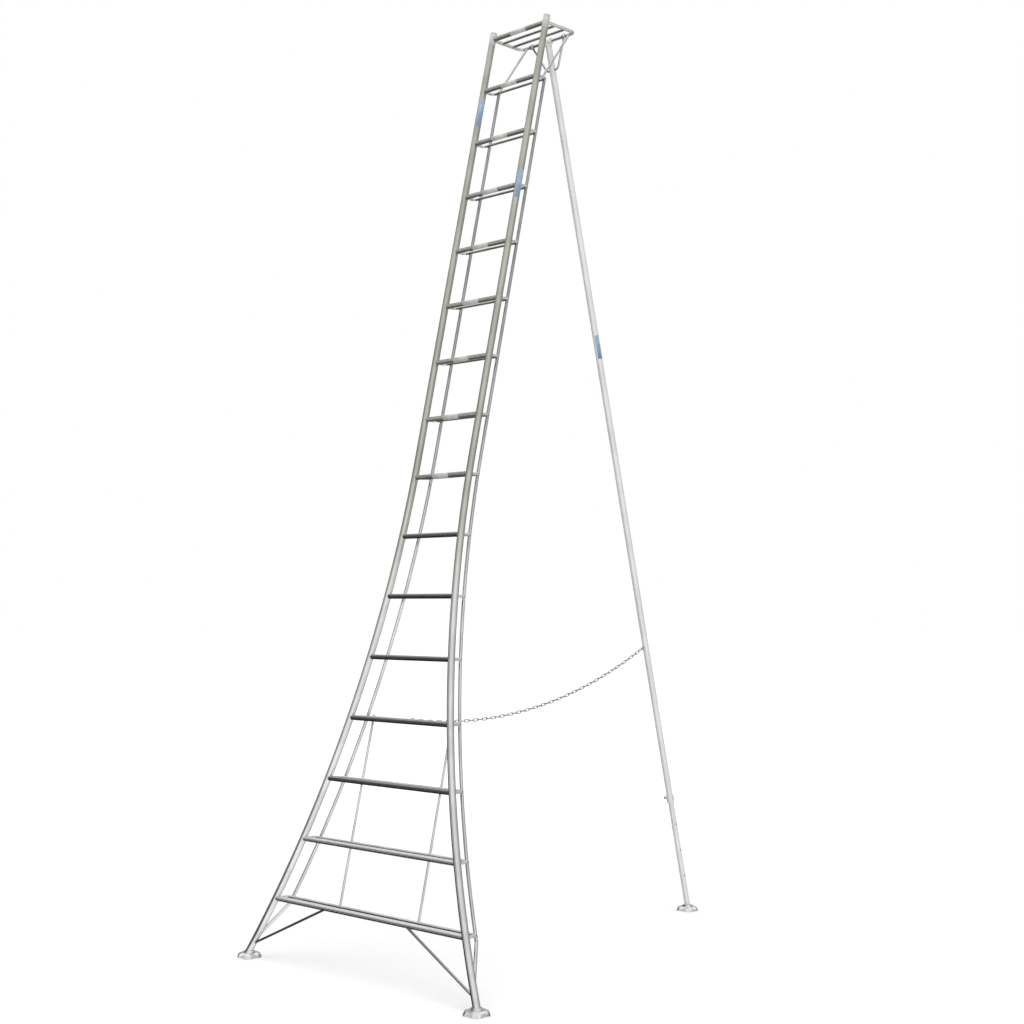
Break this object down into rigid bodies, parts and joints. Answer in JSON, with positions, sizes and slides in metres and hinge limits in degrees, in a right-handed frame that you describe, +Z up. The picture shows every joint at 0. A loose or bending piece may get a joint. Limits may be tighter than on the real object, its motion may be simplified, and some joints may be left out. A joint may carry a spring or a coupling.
{
  "type": "tripod orchard ladder",
  "caption": "Tripod orchard ladder: flared tubular climbing frame with two-tube treads, slatted top platform, folding telescopic rear leg, tie chain and claw feet.",
  "frame": {"origin": "on the ground, midway between the front feet and the rear foot", "axes": "+X to the climber's right, +Y from the climber to the rear leg, +Z up"},
  "size_m": [1.6876, 2.5328, 4.7174],
  "materials": {
    "tube": "bright drawn tube",
    "tread": "dark ribbed grip",
    "foot": "cast and satin",
    "chain": "galvanised",
    "steel": "zinc plated",
    "cap": "moulded"
  },
  "bodies": {
    "front_frame": {"left_stile": "tube", "right_stile": "tube", "left_rail": "tube", "right_rail": "tube", "rail_heels": "tube", "rung_01": "tread", "rung_02": "tread", "rung_03": "tread", "rung_04": "tread", "rung_05": "tread", "rung_06": "tread", "rung_07": "tread", "rung_08": "tread", "rung_09": "tread", "rung_10": "tread", "rung_11": "tread", "rung_12": "tread", "rung_13": "tread", "rung_14": "tread", "rung_15": "tread", "tread_bar_01": "tube", "tread_bar_02": "tube", "tread_bar_03": "tube", "tread_bar_04": "tube", "tread_bar_05": "tube", "tread_bar_06": "tube", "tread_bar_07": "tube", "tread_bar_08": "tube", "tread_bar_09": "tube", "tread_bar_10": "tube", "tread_bar_11": "tube", "tread_bar_12": "tube", "tread_bar_13": "tube", "tread_bar_14": "tube", "tread_bar_15": "tube", "truss_rods": "tube", "foot_braces": "tube", "platform_rung": "tread", "platform_frame": "tube", "platform_slats": "tread", "platform_braces": "tube", "stile_caps": "cap", "front_foot_flanges": "foot", "left_claw_foot": "foot", "right_claw_foot": "foot", "front_foot_bolts": "steel", "rung_chain_eye": "chain", "chain": "chain"},
    "rear_leg": {"leg_head": "tube", "leg_tube": "tube", "leg_yoke": "tube", "leg_chain_eye": "chain", "leg_collar": "steel"},
    "lower_leg": {"lower_tube": "tube", "rear_foot_flange": "foot", "rear_claw_foot": "foot", "rear_foot_bolt": "steel"},
    "lock_pin": {"lock_pin": "steel", "pin_knob": "steel"}
  },
  "joints": [
    {"name": "leg_fold", "type": "hinge", "parent": "front_frame", "child": "rear_leg", "pos_m": [0, 0.07788, 4.67698], "axis": [-1, 0, 0], "range_deg": [0, 26], "deforming": ["chain"]},
    {"name": "leg_slide", "type": "slide", "parent": "rear_leg", "child": "lower_leg", "axis": [0, 0.2377, -0.9713], "range_m": [-0.45, 0.45]},
    {"name": "pin_pull", "type": "slide", "parent": "rear_leg", "child": "lock_pin", "axis": [-1, 0, 0], "range_m": [0, 0.04]}
  ]
}
